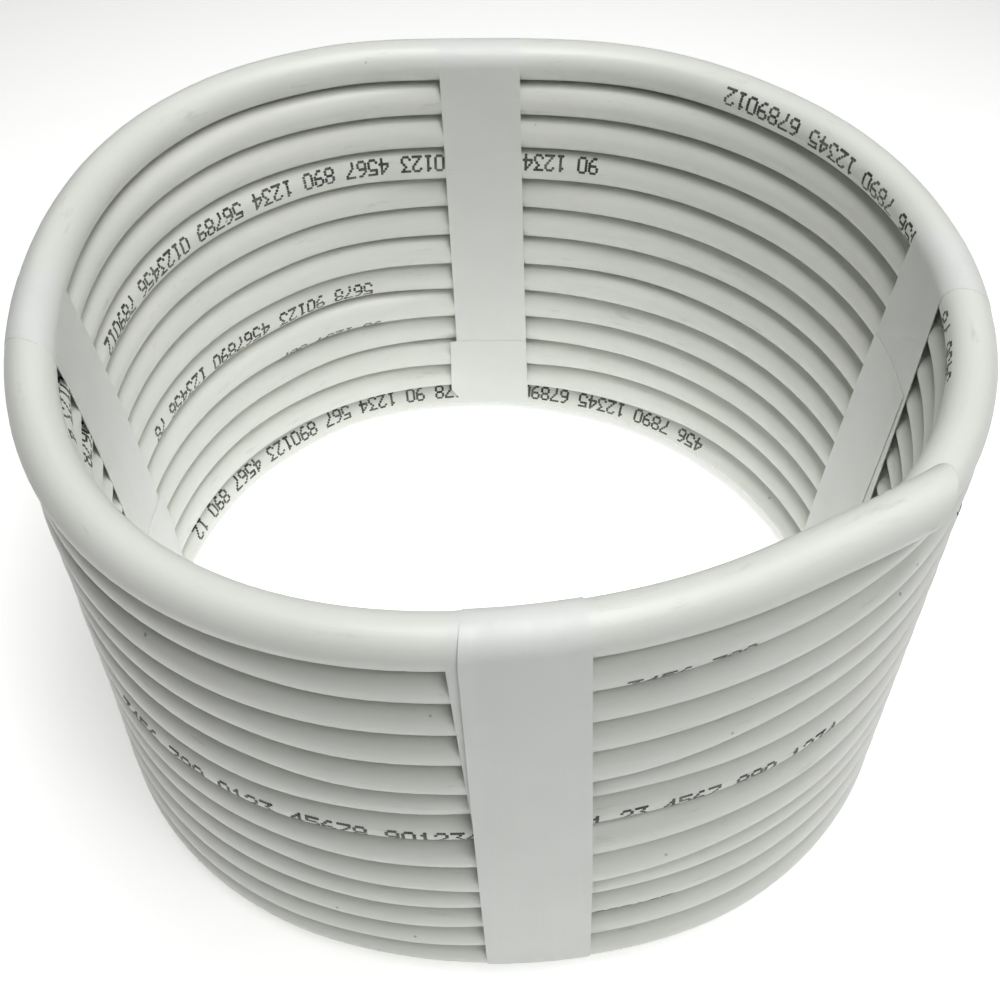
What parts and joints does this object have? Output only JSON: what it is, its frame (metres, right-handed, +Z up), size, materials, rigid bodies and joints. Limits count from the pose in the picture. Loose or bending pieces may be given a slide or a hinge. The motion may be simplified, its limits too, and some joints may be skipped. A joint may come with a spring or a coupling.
{
  "type": "coil of electrical cable",
  "caption": "Round white flexible electrical cable wound as a single-layer cylindrical coil with an open bore, held by tape straps round its section.",
  "frame": {"origin": "on the floor, under the middle of the coil, at the bottom centre of the part's box", "axes": "+Z up along the coil's bore, +X to the right along the long way of the slightly oval coil, +Y to the back, so that the front strap is on the -Y side"},
  "size_m": [0.1325, 0.127, 0.0846],
  "materials": {
    "cable_jacket": "semi-matt white flexible PVC jacket",
    "tape": "slightly glossy opaque white PVC tape"
  },
  "bodies": {
    "root": {"cable_coil": "cable_jacket", "tape_strap_front": "tape", "tape_strap_right": "tape", "tape_strap_back": "tape", "tape_strap_left": "tape"}
  },
  "joints": []
}
